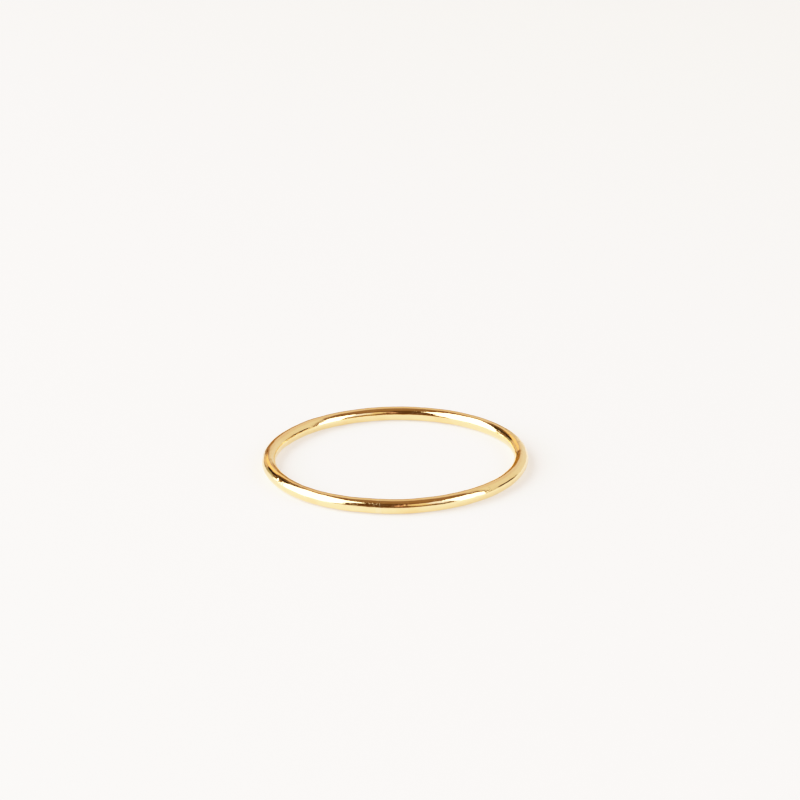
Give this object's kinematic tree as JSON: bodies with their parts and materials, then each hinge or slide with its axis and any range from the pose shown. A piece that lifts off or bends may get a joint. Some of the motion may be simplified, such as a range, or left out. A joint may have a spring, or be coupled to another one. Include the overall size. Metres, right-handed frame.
{
  "type": "stackable ring",
  "caption": "Plain thin stacking ring: round gold wire bent to a closed, very slightly oval loop, worn on a finger alone or stacked with rings like it.",
  "frame": {"origin": "centre of the finger hole, on the plane that the ring lies on", "axes": "+Z along the finger's axis, up as the ring lies on its side; the ring's front faces -Y, and +X is to the right as seen from the front; the loop is longest from back right to front left"},
  "size_m": [0.019, 0.019, 0.001],
  "materials": {
    "gold": "polished"
  },
  "bodies": {
    "root": {"ring_band": "gold"}
  },
  "joints": []
}
